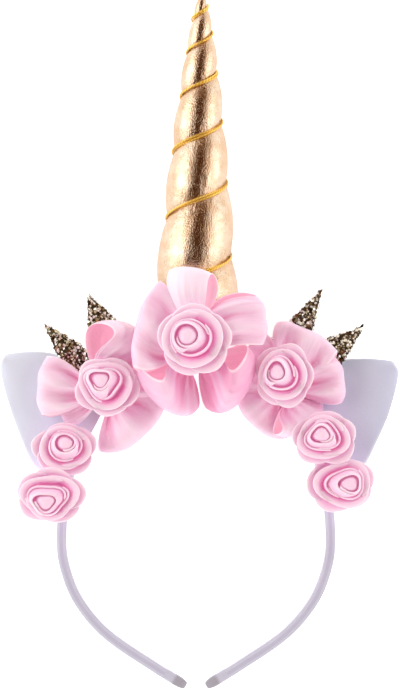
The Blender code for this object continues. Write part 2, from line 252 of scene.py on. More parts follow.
for name, sideways, along, height, width, length, watts in SOFT_BOXES:
    soft_box = bpy.data.lights.new(name, "AREA")
    soft_box.shape = "RECTANGLE"
    soft_box.size = width
    soft_box.size_y = length
    soft_box.energy = watts
    lamp = placed(name, soft_box)
    lamp.location = (sideways, along, height)
    lamp.rotation_euler = (-lamp.location).to_track_quat("-Z", "Y").to_euler()

table_mesh = bpy.data.meshes.new("table")
table_corners = [(x * TABLE_HALF, y * TABLE_HALF, 0.0) for x, y in ((-1, -1), (1, -1), (1, 1), (-1, 1))]
table_mesh.from_pydata(table_corners, [], [(0, 1, 2, 3)])
table = placed("table", table_mesh)
bpy.context.scene.view_settings.view_transform = "Standard"


def shader_tree(name):
    """A new material and its empty tree."""
    surface = bpy.data.materials.new(name)
    surface.use_nodes = True
    return surface, Tree(surface.node_tree)


def coat(tree, sockets):
    """One Principled shader on the material's output."""
    shader = tree.node("ShaderNodeBsdfPrincipled", (), sockets)
    tree.node("ShaderNodeOutputMaterial", (), {"Surface": shader})


white_paint, tree = shader_tree("white_table")
coat(tree, {
    "Base Color": "#F4F3F2", "Roughness": 0.6,
    "Emission Color": "#FFFFFF", "Emission Strength": TABLE_GLOW})
table_mesh.materials.append(white_paint)


# Horn
# Champagne foil cloth over soft stuffing. The cord wound round it draws it in, so it stands in puffs that
# grow towards the bottom, and small puckers run away from the cord on both sides. A turn is one round of the
# cord, counted from the first drop under the tip.
HORN_LOW, HORN_HIGH = (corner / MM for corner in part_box("horn"))
HORN_CAP = 0.4                       # the tip is cut off this far down
HORN = {
    "Tip": HORN_HIGH.y + HORN_CAP,
    "Length": HORN_HIGH.y + HORN_CAP - HORN_LOW.y,
    "Cap": HORN_CAP,
    "Radius": 21.6,
    "Radius Drop": 155.0,
    "Swell": 0.62,
    "Depth": 0.82,
    "Lean": 0.0194,
    "Lean From": 25.0,
    "Axis Height": 17.7,
    "Sag": 0.045,
    "Sag From": 20.0,
    "Seat Drop": 158.0,
    "Seat Round": 27.0,
    "First Drop": 13.5,
    "Pitch": 13.75,
    "Pitch Growth": 2.8,
    "Groove Part": 0.115,
    "Groove Least": 0.8,
    "Groove Most": 0.29,
    "Puff Power": 0.8,
    "Tip Turn": -1.33,
    "Tip Opening": 0.5,
    "Seat Closing": 0.8,
    "Pucker": 0.4,
    "Pucker Width": 1.7,
    "Pucker Length": 7.0,
    "Lump": 0.35,
    "Lump Width": 16.0,
}
HORN_SIDES = 112                     # points in one turn
HORN_ROWS = 26                       # rows from one groove to the next
HORN_SPARE_TURNS = (2.0, 1.0)        # before the tip and past the seat, where the rows close up
HORN_MERGE = 0.004
below_first = HORN["Length"] - HORN["First Drop"]
HORN["Seat Turn"] = (
    math.sqrt(HORN["Pitch"] ** 2 + 4 * HORN["Pitch Growth"] * below_first) - HORN["Pitch"]
) / (2 * HORN["Pitch Growth"])


def geometry_tree(name, sizes):
    """A Geometry Nodes tree with a named input for each size, and those inputs as wires."""
    group = bpy.data.node_groups.new(name, "GeometryNodeTree")
    group.interface.new_socket("Geometry", in_out="INPUT", socket_type="NodeSocketGeometry")
    for label, value in sizes.items():
        kind = "NodeSocketInt" if isinstance(value, int) else "NodeSocketFloat"
        group.interface.new_socket(label, in_out="INPUT", socket_type=kind)
    group.interface.new_socket("Geometry", in_out="OUTPUT", socket_type="NodeSocketGeometry")
    tree = Tree(group)
    start = group.nodes.new("NodeGroupInput")
    return tree, {socket.name: Wire(tree, socket) for socket in start.outputs if socket.name}


def finish_tree(tree, shape, material):
    """Smooth shading, the material and the tree's output."""
    smooth = tree.node("GeometryNodeSetShadeSmooth", (), {"Geometry": shape})
    dressed = tree.node("GeometryNodeSetMaterial", (), {"Geometry": smooth, "Material": material})
    tree.node("NodeGroupOutput", (), {"Geometry": dressed})


def grown(name, tree, sizes, start):
    """Run a tree on an object, and keep what it makes as one plain mesh under a new name."""
    maker = start.modifiers.new("maker", "NODES")
    maker.node_group = tree.tree
    for socket in tree.tree.interface.items_tree:
        if socket.in_out == "INPUT" and socket.name in sizes:
            maker[socket.identifier] = sizes[socket.name]
    bpy.context.view_layer.update()
    graph = bpy.context.evaluated_depsgraph_get()
    mesh = bpy.data.meshes.new_from_object(
        start.evaluated_get(graph), preserve_all_data_layers=True, depsgraph=graph)
    start.modifiers.remove(maker)
    bpy.data.objects.remove(start)
    return placed(name, mesh)


def foil_finish():
    """Champagne foil, crackled all over and creased beside the cord, with painted shade darkening those
    creases.
    """
    foil, tree = shader_tree("champagne_foil")
    place = tree.place()
    crease = tree.mark("crease")
    long_way = tree.node("ShaderNodeMapping", (), {"Vector": place, "Scale": (1.0, 0.22, 1.0)})
    crackle = tree.noise(place, 1300.0, 2.0, 0.6)
    pucker = tree.noise(long_way, 1100.0, 2.0, 0.5)
    mottle = tree.noise(place, 130.0, 3.0, 0.6)
    height = crackle * 0.75 + pucker * tree.step(crease, 0.1, 0.8) * 0.9
    colour = tree.tint(tree.step(mottle, 0.35, 0.7), "#CCAF91", "#D9C5AE")
    # painted shade: the foil is tinted darker and more golden in the creases beside the cord
    colour = tree.tint(tree.step(crease, 0.55, 1.0) * 0.5, colour, "#C08A4C")
    coat(tree, {
        "Base Color": colour, "Metallic": 1.0,
        "Roughness": 0.12 + mottle * 0.08,
        "Normal": tree.bump(height, 0.5, 0.6)})
    return foil


tree, size = geometry_tree("stuffed_horn", {**HORN, "First Turn": 0.0, "Turns": 0.0, "Sides": 2, "Rows": 2})
strip = tree.node("GeometryNodeMeshGrid", (), {
    "Size X": size["Turns"], "Size Y": 1.0, "Vertices X": size["Sides"], "Vertices Y": size["Rows"]})
x, y, _ = tree.parts(tree.node("GeometryNodeInputPosition"))
angle = x + size["First Turn"] + size["Turns"] * 0.5
row = y + 0.5
turn = angle + row
drop = size["First Drop"] + size["Pitch"] * turn + size["Pitch Growth"] * turn * turn
drop = tree.maths("MINIMUM", tree.maths("MAXIMUM", drop, size["Cap"]), size["Length"])
drop = tree.node("GeometryNodeSwitch", {"input_type": "FLOAT"}, {
    "Switch": tree.node("FunctionNodeCompare", {"operation": "LESS_THAN"}, {0: turn, 1: size["Tip Turn"]}),
    "False": drop, "True": size["Cap"]})
full = size["Radius"] * (drop / size["Radius Drop"]) ** size["Swell"]
bulge = tree.maths("MAXIMUM", tree.maths("SINE", row * math.pi), 0.0) ** size["Puff Power"]
groove = tree.maths("MINIMUM", full * size["Groove Part"] + size["Groove Least"], full * size["Groove Most"])
radius = full - groove * (1.0 - bulge)
seat = tree.maths("MAXIMUM", drop - size["Seat Drop"], 0.0) / size["Seat Round"]
radius = radius * tree.maths("SQRT", 1.0 - seat * seat)
closed = tree.node("ShaderNodeMapRange", (), {
    0: turn, 1: size["Seat Turn"], 2: size["Seat Turn"] + size["Seat Closing"], 3: 1.0, 4: 0.0})
opened = tree.node("ShaderNodeMapRange", (), {
    0: turn, 1: size["Tip Turn"] - size["Tip Opening"], 2: size["Tip Turn"]})
along = size["Tip"] - drop
middle = size["Axis Height"] - size["Sag"] * tree.maths("MAXIMUM", along - size["Sag From"], 0.0)
lean = size["Lean"] * (along - size["Lean From"])
round_x = tree.maths("COSINE", angle * (2 * math.pi)) * -1.0
round_z = tree.maths("SINE", angle * (2 * math.pi)) * size["Depth"] * -1.0
skin = tree.vector(radius * round_x, along, radius * round_z)
lump = tree.noise(skin, 1.0 / size["Lump Width"], 1.0) - 0.5
drawn_out = along * (size["Pucker Width"] / size["Pucker Length"])
fine = tree.vector(radius * round_x, drawn_out, radius * round_z)
pucker = tree.noise(fine, 1.0 / size["Pucker Width"], 1.0) - 0.5
beside_cord = bulge * (1.0 - bulge) * 4.0
puffed = radius + full / size["Radius"] * (
    lump * size["Lump"] * 2.0 * bulge + pucker * size["Pucker"] * 2.0 * beside_cord)
puffed = puffed * closed * opened
spot = tree.vector((lean + puffed * round_x) * MM, along * MM, (middle + puffed * round_z) * MM)
strip = tree.kept(strip, "crease", 1.0 - bulge)
skin = tree.node("GeometryNodeSetPosition", (), {"Geometry": strip, "Position": spot})
skin = tree.node("GeometryNodeMergeByDistance", (), {"Geometry": skin, "Distance": HORN_MERGE * MM})
skin = tree.node("GeometryNodeFlipFaces", (), {"Mesh": skin})
finish_tree(tree, skin, foil_finish())

first_side = math.floor((HORN["Tip Turn"] - HORN_SPARE_TURNS[0]) * HORN_SIDES)
last_side = math.ceil((HORN["Seat Turn"] + HORN_SPARE_TURNS[1]) * HORN_SIDES)
horn_start = placed("horn_start", bpy.data.meshes.new("horn_start"))
horn = grown("horn_foil", tree, {
    **HORN, "First Turn": first_side / HORN_SIDES, "Turns": (last_side - first_side) / HORN_SIDES,
    "Sides": last_side - first_side + 1, "Rows": HORN_ROWS + 1}, horn_start)
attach(horn, "root")
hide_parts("horn")


# Horn cord
# Two strands of bright gold yarn, loosely twisted together and wound down the horn in its grooves.
CORD = {
    "Strand": 0.48,
    "Spacing": 0.58,
    "Twist Length": 52.0,
    "Yarn Length": 1.7,
    "Step": 0.55,
    "Sides": 10,
    **{label: HORN[label] for label in ("Lean", "Lean From", "Axis Height", "Sag", "Sag From")},
}
CORD_TURNS = (-0.55, 5.1)
CORD_POINTS = 48                     # in one turn
CORD_OUT = 0.85                      # from the bottom of the groove to the middle of the pair


def groove_point(turn):
    """A point of the cord's route, just over the bottom of the horn's groove."""
    drop = HORN["First Drop"] + HORN["Pitch"] * turn + HORN["Pitch Growth"] * turn ** 2
    full = HORN["Radius"] * (drop / HORN["Radius Drop"]) ** HORN["Swell"]
    groove = min(full * HORN["Groove Part"] + HORN["Groove Least"], full * HORN["Groove Most"])
    radius = full - groove + CORD_OUT
    along = HORN["Tip"] - drop
    middle = HORN["Axis Height"] - HORN["Sag"] * max(along - HORN["Sag From"], 0.0)
    angle = 2.0 * math.pi * turn
    return (
        HORN["Lean"] * (along - HORN["Lean From"]) - radius * math.cos(angle),
        along,
        middle - radius * HORN["Depth"] * math.sin(angle))


def poly_route(name, points, swells=None):
    """A curve object through points given in millimetres, with how thick it is at each."""
    line = bpy.data.curves.new(name, "CURVE")
    line.dimensions = "3D"
    spline = line.splines.new("POLY")
    spline.points.add(len(points) - 1)
    for knot, point, swell in zip(spline.points, points, swells or [1.0] * len(points)):
        knot.co = (*(Vector(point) * MM), 1.0)
        knot.radius = swell
    return placed(name, line)


def yarn_finish():
    """Bright metallic yarn with its own fine twist."""
    yarn, tree = shader_tree("gold_yarn")
    run = tree.mark("run")
    around = tree.mark("around")
    twist = tree.wave(run + around * 2.0)
    coat(tree, {
        "Base Color": tree.tint(twist, "#D8981A", "#FFE27A"),
        "Metallic": 0.85, "Roughness": 0.3,
        "Normal": tree.bump(twist, 0.5, 0.2)})
    return yarn


tree, size = geometry_tree("wound_cord", CORD)
route = tree.node("GeometryNodeResampleCurve", {"mode": "LENGTH"}, {
    "Curve": size["Geometry"], "Length": size["Step"] * MM})
run = tree.node("GeometryNodeSplineParameter", (), (), "Length") / MM
route = tree.kept(route, "run", run / size["Yarn Length"])
place = tree.node("GeometryNodeInputPosition")
x, y, z = (part / MM for part in tree.parts(place))
middle = size["Axis Height"] - size["Sag"] * tree.maths("MAXIMUM", y - size["Sag From"], 0.0)
outward = tree.node("ShaderNodeVectorMath", {"operation": "NORMALIZE"}, {
    0: tree.vector(x - size["Lean"] * (y - size["Lean From"]), 0.0, z - middle)})
sideways = tree.node("ShaderNodeVectorMath", {"operation": "CROSS_PRODUCT"}, {
    0: tree.node("GeometryNodeInputTangent"), 1: outward})
profile = tree.node("GeometryNodeCurvePrimitiveCircle", (), {
    "Resolution": size["Sides"], "Radius": size["Strand"] * MM})
profile = tree.kept(profile, "around", tree.node("GeometryNodeSplineParameter"))
strands = []
for phase in (0.0, math.pi):
    turned = run / size["Twist Length"] * (2.0 * math.pi) + phase
    over = tree.node("ShaderNodeVectorMath", {"operation": "SCALE"}, {
        0: outward, "Scale": tree.maths("SINE", turned) * size["Spacing"] * MM})
    beside = tree.node("ShaderNodeVectorMath", {"operation": "SCALE"}, {
        0: sideways, "Scale": tree.maths("COSINE", turned) * size["Spacing"] * MM})
    offset = tree.node("ShaderNodeVectorMath", {"operation": "ADD"}, {0: over, 1: beside})
    strand = tree.node("GeometryNodeSetPosition", (), {"Geometry": route, "Offset": offset})
    strands.append(tree.node("GeometryNodeCurveToMesh", (), {
        "Curve": strand, "Profile Curve": profile, "Fill Caps": True}))
finish_tree(tree, tree.joined(*strands), yarn_finish())

cord_steps = round((CORD_TURNS[1] - CORD_TURNS[0]) * CORD_POINTS)
cord_route = poly_route("cord_route", [
    groove_point(CORD_TURNS[0] + step / CORD_POINTS) for step in range(cord_steps + 1)])
cord = grown("horn_cord_strands", tree, CORD, cord_route)
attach(cord, "root")
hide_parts("horn_cord")


# Band and end sleeves
# A flat spring wrapped in lavender-grey satin ribbon. A darker lengthwise stripe on its front edge is a
# painted reflection of the dark ceiling strip, over a shallow bumped groove. A woven sleeve is pushed on over
# each end, lavender at its mouth and grey at its tip.
BAND = {"Thickness": 5.0, "Width": 10.0, "Corner": 1.1, "Corner Steps": 4}
TEMPLE_HALF_WIDTH = 67.5
TOP_RISE = 95.0
CROWN_STEPS = 6
LOWER_HOOP = (
    # half_width, y
    (65.2, -111.0),
    (58.2, -127.0),
    (44.2, -143.0),
    (20.8, -159.0),
    (15.8, -162.1),
    (5.2, -168.5),
)
ROUTE_STEPS = 8
SLEEVE_KNOTS = 1                     # knots from the mouth of the sleeve to its tip
SLEEVE_GAP = 0.3
SLEEVE_SWELL = 1.02
SLEEVE_NOSE_GAP = 0.4                # from the last point of its body to its nose
SLEEVE_NOSE = (
    # back from the tip, part of the section
    (4.4, 1.0), (3.0, 0.96), (1.9, 0.89), (1.0, 0.79), (0.35, 0.67), (0.0, 0.52),
)
SLEEVE_GREY = (4.2, 6.4)             # its weave turns from the ribbon's colour to grey here


def smoothed(knots, steps):
    """A Catmull-Rom curve through rows of numbers, with a number of steps from each to the next."""
    knots = np.array(knots, dtype=float)
    padded = np.vstack([knots[0] * 2 - knots[1], knots, knots[-1] * 2 - knots[-2]])
    before, start, end, after = (padded[i:i + len(knots) - 1, None] for i in range(4))
    part = (np.arange(steps) / steps)[None, :, None]
    curve = 0.5 * (
        start * 2
        + (end - before) * part
        + (before * 2 - start * 5 + end * 4 - after) * part ** 2
        + (start * 3 - before - end * 3 + after) * part ** 3)
    return np.vstack([curve.reshape(-1, knots.shape[1]), knots[-1:]])


def ribbon_wrap():
    """Lavender-grey satin with a painted dark reflection in its middle stripe and two faint lines along the
    edges.
    """
    satin, tree = shader_tree("lavender_ribbon")
    across = tree.mark("across")
    run = tree.mark("run")
    place = tree.place()
    reflection_stripe = tree.step(tree.maths("ABSOLUTE", across + 0.05), 0.42, 0.24)
    edge = tree.step(tree.maths("ABSOLUTE", tree.maths("ABSOLUTE", across) - 0.78), 0.12, 0.04)
    rib = tree.wave(run, 0.55)
    cloudy = tree.noise(place, 90.0)
    colour = tree.tint(cloudy, "#C6C8DC", "#D2D4E4")
    # painted reflection: the middle stripe is tinted darker for the dark ceiling it would mirror
    colour = tree.tint(reflection_stripe * 0.65, colour, "#B9B7CE")
    colour = tree.tint(edge * 0.35, colour, "#AFABBE")
    height = rib * 0.3 - reflection_stripe * 1.5 - edge
    coat(tree, {
        "Base Color": colour, "Roughness": 0.4 + cloudy * 0.1, "Sheen Weight": 0.15,
        "Normal": tree.bump(height, 0.4, 0.2)})
    return satin


def sleeve_weave():
    """Webbing woven in small blocks, lavender like the ribbon at its mouth and grey towards its tip."""
    cloth, tree = shader_tree("grey_weave")
    run = tree.mark("run")
    around = tree.mark("around")
    along = tree.maths("SINE", run * (2.0 * math.pi / 0.9))
    round_it = tree.maths("SINE", around * (2.0 * math.pi * 32))
    weave = along * round_it * 0.5 + 0.5
    grey = tree.tint(weave, "#8F8D9A", "#B9B7C2")
    lavender = tree.tint(weave, "#BFC0D4", "#CFD0E0")
    colour = tree.tint(tree.step(run, *SLEEVE_GREY), lavender, grey)
    coat(tree, {
        "Base Color": colour, "Roughness": 0.7,
        "Normal": tree.bump(weave, 0.5, 0.2)})
    return cloth


def wrapped_strip(name, route, swells, material):
    """Sweep the band's rounded section along a route."""
    tree, size = geometry_tree(name + "_sweep", BAND)
    run = tree.node("GeometryNodeSplineParameter", (), (), "Length") / MM
    line = tree.node("GeometryNodeSetCurveNormal", {"mode": "Z_UP"}, {"Curve": size["Geometry"]})
    line = tree.kept(line, "run", run)
    section = tree.node("GeometryNodeCurvePrimitiveQuadrilateral", (), {
        "Width": size["Thickness"] * MM, "Height": size["Width"] * MM})
    section = tree.node("GeometryNodeFilletCurve", {"mode": "POLY"}, {
        "Curve": section, "Radius": size["Corner"] * MM, "Count": size["Corner Steps"]})
    x, _, _ = tree.parts(tree.node("GeometryNodeInputPosition"))
    section = tree.kept(section, "across", x / (size["Thickness"] * (0.5 * MM)))
    section = tree.kept(section, "around", tree.node("GeometryNodeSplineParameter"))
    skin = tree.node("GeometryNodeCurveToMesh", (), {
        "Curve": line, "Profile Curve": section, "Fill Caps": True,
        "Scale": tree.node("GeometryNodeInputRadius")})
    finish_tree(tree, skin, material)
    return grown(name, tree, BAND, poly_route(name + "_route", route, swells))


hoop_knots = []
for step in range(CROWN_STEPS + 1):
    angle = math.radians(90.0 * step / CROWN_STEPS)
    hoop_knots.append((TEMPLE_HALF_WIDTH * math.sin(angle), TOP_RISE * (math.cos(angle) - 1.0)))
hoop_knots += LOWER_HOOP
hoop_knots = [(-x, y) for x, y in reversed(hoop_knots[1:])] + hoop_knots
hoop = [Vector((x, y, BAND["Width"] / 2)) for x, y in smoothed(hoop_knots, ROUTE_STEPS)]
sleeve_points = SLEEVE_KNOTS * ROUTE_STEPS

band = wrapped_strip(
    "band_ribbon", hoop[sleeve_points - 1:len(hoop) - sleeve_points + 1], None, ribbon_wrap())
for face in band.data.polygons:
    face.use_smooth = len(face.vertices) == 4                # all but the end caps
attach(band, "root")
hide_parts("headband")

webbing = sleeve_weave()
for name, route in (
        ("end_sleeve_left", hoop[sleeve_points::-1]),
        ("end_sleeve_right", hoop[-sleeve_points - 1:])):
    tip = route[-1]
    into = (tip - route[0]).normalized()
    body = [route[0] + into * SLEEVE_GAP]
    nose_length = SLEEVE_NOSE[0][0] + SLEEVE_NOSE_GAP
    body += [point for point in route[1:] if (tip - point).length > nose_length]
    nose = [tip - into * back for back, _ in SLEEVE_NOSE]
    swells = [SLEEVE_SWELL] * len(body) + [swell for _, swell in SLEEVE_NOSE]
    sleeve = wrapped_strip(name + "_webbing", body + nose, swells, webbing)
    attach(sleeve, "root")
    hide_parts(name)


# Ears
# Two pointed ears cut from 2 mm felt and glued to the front of the band under the bows. They dome a little
# and bend back towards their tips. The right one stands lower, and its felt is painted darker as painted
# shade from the flowers. Both are painted lighter towards their edges as painted light.
FELT = 2.0
EAR_GLUE = 0.3
EAR_LEVEL = BAND["Width"] + EAR_GLUE + FELT / 2
EAR_CROWN = 2.2
EAR_OUTLINE = (
    # outer_x, outer_y, inner_x, inner_y, drop
    (-63.0, -62.0, -42.0, -22.0, 0.0),
    (-74.0, -62.0, -48.0, -13.0, 0.0),
    (-82.0, -57.5, -57.5, -6.5, 0.0),
    (-88.0, -44.0, -67.0, -2.8, 0.6),
    (-93.0, -30.0, -77.0, -0.8, 1.6),
    (-96.6, -16.5, -88.0, -1.3, 2.6),
    (-98.0, -6.0, -96.2, -3.0, 3.4),
)
EARS = (
    # name, side, shift_x, shift_y, middle colour, edge colour; the right ear's darker colours are painted
    # shade and the lighter edge colours painted light
    ("ear_left", 1, 0.0, 0.0, "#DBE5F6", "#EFF4FC"),
    ("ear_right", -1, 3.2, -3.5, "#C5CCE5", "#DDE1F0"),
)
EAR_COLUMNS = 18
EAR_STEPS = 6
EAR_RIM = 0.1                        # part of the height that the tip's painted light edge takes up
WELD = 1e-7                          # metres


def smooth_step(part):
    """0 under 0, 1 over 1, and a smooth step between."""
    part = np.clip(part, 0.0, 1.0)
    return part * part * (3.0 - 2.0 * part)


def grid_piece(name, grids, material):
    """One object from grids of points in millimetres, each with its own values at the points."""
    points = []
    faces = []
    marks = {}
    start = 0
    for spots, values in grids:
        rows, columns = spots.shape[:2]
        index = np.arange(start, start + rows * columns).reshape(rows, columns)
        corners = (index[:-1, :-1], index[:-1, 1:], index[1:, 1:], index[1:, :-1])
        faces += np.stack(corners, axis=-1).reshape(-1, 4).tolist()
        points += (spots.reshape(-1, 3) * MM).tolist()
        for label, value in values.items():
            marks.setdefault(label, []).append(np.broadcast_to(value, (rows, columns)).ravel())
        start += rows * columns
    mesh = bpy.data.meshes.new(name)
    mesh.from_pydata(points, [], faces)
    for label, value in marks.items():
        layer = mesh.attributes.new(label, "FLOAT", "POINT")
        layer.data.foreach_set("value", np.concatenate(value).astype(np.float32))
    shape = bmesh.new()
    shape.from_mesh(mesh)
    bmesh.ops.remove_doubles(shape, verts=shape.verts, dist=WELD)
    shape.to_mesh(mesh)
    shape.free()
    mesh.materials.append(material)
    mesh.shade_smooth()
    return placed(name, mesh)


def thicken(piece, thickness, back=0):
    """Give a sheet its thickness in millimetres, soft edges, and a back with a material so many slots on."""
    wall = piece.modifiers.new("thickness", "SOLIDIFY")
    wall.thickness = thickness * MM
    wall.offset = 0.0
    wall.material_offset = back
    soft = piece.modifiers.new("soft edges", "SUBSURF")
    soft.levels = 1
    soft.render_levels = 1


def felt_finish(name, middle, edge_light):
    """Smooth pale felt with a short nap, painted lighter at its cut edge as painted light."""
    felt, tree = shader_tree(name)
    edge = tree.mark("edge")
    place = tree.place()
    nap = tree.noise(place, 1400.0, 3.0, 0.7)
    cloudy = tree.noise(place, 35.0)
    # painted light: the felt is lighter towards its edges
    colour = tree.tint(tree.step(edge, 0.55, 1.0), middle, edge_light)
    colour = tree.tint(cloudy * 0.25, colour, "#C3C2D4")
    colour = tree.tint(nap * 0.16, colour, "#FFFFFF")
    coat(tree, {
        "Base Color": colour, "Roughness": 0.9, "Sheen Weight": 0.3, "Sheen Roughness": 0.6,
        "Normal": tree.bump(nap, 0.35, 0.3)})
    return felt


for name, side, shift_x, shift_y, middle, edge_light in EARS:
    outline = smoothed(EAR_OUTLINE, EAR_STEPS)
    reach = np.linspace(0.0, 1.0, len(outline))[:, None]
    outer_x, outer_y, inner_x, inner_y, drop = (outline[:, i:i + 1] for i in range(5))
    part = np.linspace(0.0, 1.0, EAR_COLUMNS + 1)[None, :]
    shift = np.minimum(1.0, reach * 1.5)
    x = (outer_x + (inner_x - outer_x) * part) * side + shift_x * shift
    y = outer_y + (inner_y - outer_y) * part + shift_y * shift
    dome = (2.0 * part - 1.0) ** 2
    z = EAR_LEVEL - drop - EAR_CROWN * dome * np.minimum(1.0, drop)
    edge = np.maximum(dome ** 4, smooth_step((reach - 1.0 + EAR_RIM) / EAR_RIM))
    grid = (np.stack([x, y, z], axis=-1), {"edge": edge})
    ear = grid_piece(name + "_felt", [grid], felt_finish(name, middle, edge_light))
    thicken(ear, FELT)
    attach(ear, "root")
    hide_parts(name)


# Glitter points
# Four pointed pieces of stiff sheet, crusted with coarse gold glitter, stacked in pairs under the side bows.
GLITTER_SHEET = 1.0
FLAKE_BED = 0.1                      # the sheet is thinner by this, and the flakes make it up
GLITTER_POINTS = {
    # underside, then the outline as x and y
    "glitter_point_left_upper": (12.6, (
        (-54.3, 28.0), (-54.0, 7.0), (-50.0, -14.0), (-47.5, -21.0),
        (-42.5, -21.0), (-36.0, -8.0), (-31.5, 5.0), (-42.5, 17.5))),
    "glitter_point_left_lower": (13.9, (
        (-76.0, 13.0), (-73.0, 6.0), (-69.5, -2.0), (-63.5, -9.0),
        (-49.0, -24.5), (-43.0, -21.0), (-49.0, -7.0), (-57.8, 2.5), (-69.5, 9.6))),
    "glitter_point_right_upper": (12.6, (
        (63.0, 30.5), (49.5, 17.0), (38.0, 5.5), (41.0, -19.0),
        (47.0, -19.0), (53.0, -6.0), (58.5, 11.0), (60.0, 17.0))),
    "glitter_point_right_lower": (13.9, (
        (84.0, 12.9), (78.0, 9.5), (67.2, 6.5), (52.0, -6.0),
        (42.0, -20.0), (48.0, -23.5), (60.0, -17.0), (70.5, -10.0), (76.8, -1.0))),
}
FLAKES = {
    # density for each square millimetre, least and most width, tilt and spin in radians
    "Density": 1.35, "Least": 0.9, "Most": 1.75, "Tilt": 0.6, "Spin": 3.2, "Lift": 0.44, "Seed": 4,
}


def flake_finish():
    """Glitter from dark brown and copper to olive gold, each flake its own random tone; the nearly white
    flakes are painted glints.
    """
    glitter, tree = shader_tree("gold_glitter_flakes")
    tone = tree.mark("tone")
    # the top of this ramp is painted highlight: nearly white flakes stand in for glints
    colour = tree.ramp(tone, (
        (0.0, "#1E160B"), (0.2, "#43361C"), (0.33, "#7C5733"), (0.44, "#9C9468"), (0.6, "#E4DDBF"),
        (0.74, "#FFFEF5")))
    coat(tree, {"Base Color": colour, "Metallic": 0.55, "Roughness": 0.24 + tone * 0.2})
    return glitter


flake_paint = flake_finish()
crust_paint, tree = shader_tree("glitter_sheet")
grit = tree.noise(tree.place(), 1600.0)
coat(tree, {"Base Color": tree.tint(grit, "#1D150C", "#6B572E"), "Metallic": 0.5, "Roughness": 0.45})

tree, size = geometry_tree("glitter_flakes", FLAKES)
_, _, up = tree.parts(tree.node("GeometryNodeInputNormal"))
top = tree.node("FunctionNodeCompare", {"operation": "GREATER_THAN"}, {0: up, 1: -0.5})
spots = tree.node("GeometryNodeDistributePointsOnFaces", (), {
    "Mesh": size["Geometry"], "Selection": top, "Density": size["Density"] * 1e6, "Seed": size["Seed"]})
flake = tree.node("GeometryNodeMeshCircle", {"fill_type": "NGON"}, {"Vertices": 6, "Radius": 0.5 * MM})
tilt = tree.node("FunctionNodeRandomValue", {"data_type": "FLOAT_VECTOR"}, {
    "Min": tree.vector(size["Tilt"] * -1.0, size["Tilt"] * -1.0, size["Spin"] * -1.0),
    "Max": tree.vector(size["Tilt"], size["Tilt"], size["Spin"]), "Seed": size["Seed"] + 1})
turn = tree.node("FunctionNodeRotateRotation", {"rotation_space": "LOCAL"}, {
    "Rotation": spots.other("Rotation"),
    "Rotate By": tree.node("FunctionNodeEulerToRotation", (), {"Euler": tilt})})
grow = tree.random(size["Least"], size["Most"], size["Seed"] + 2)
flakes = tree.node("GeometryNodeInstanceOnPoints", (), {
    "Points": spots.other("Points"), "Instance": flake, "Rotation": turn, "Scale": grow})
flakes = tree.kept(flakes, "tone", tree.random(0.0, 1.0, size["Seed"] + 3), "INSTANCE")
lift = tree.random(0.0, size["Lift"] * MM, size["Seed"] + 4)
flakes = tree.node("GeometryNodeTranslateInstances", (), {
    "Instances": flakes, "Translation": tree.vector(0.0, 0.0, lift)})
flakes = tree.node("GeometryNodeRealizeInstances", (), {"Geometry": flakes})
flakes = tree.node("GeometryNodeSetMaterial", (), {"Geometry": flakes, "Material": flake_paint})
tree.node("NodeGroupOutput", (), {"Geometry": tree.joined(flakes, size["Geometry"])})

for number, (name, (underside, outline)) in enumerate(GLITTER_POINTS.items()):
    count = len(outline)
    low = [(x * MM, y * MM, underside * MM) for x, y in outline]
    high = [(x * MM, y * MM, (underside + GLITTER_SHEET - FLAKE_BED) * MM) for x, y in outline]
    clockwise = sum(
        x0 * y1 - x1 * y0 for (x0, y0), (x1, y1) in zip(outline, outline[1:] + outline[:1])) < 0
    ring = list(range(count))[::-1] if clockwise else list(range(count))
    faces = [ring[::-1], [corner + count for corner in ring]]
    for here, after in zip(ring, ring[1:] + ring[:1]):
        faces.append([here, after, after + count, here + count])
    sheet = bpy.data.meshes.new(name)
    sheet.from_pydata(low + high, [], faces)
    sheet.materials.append(crust_paint)
    start = placed(name + "_start", sheet)
    point = grown(name + "_glitter", tree, {**FLAKES, "Seed": FLAKES["Seed"] + number * 10}, start)
    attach(point, "root")
    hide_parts(name)


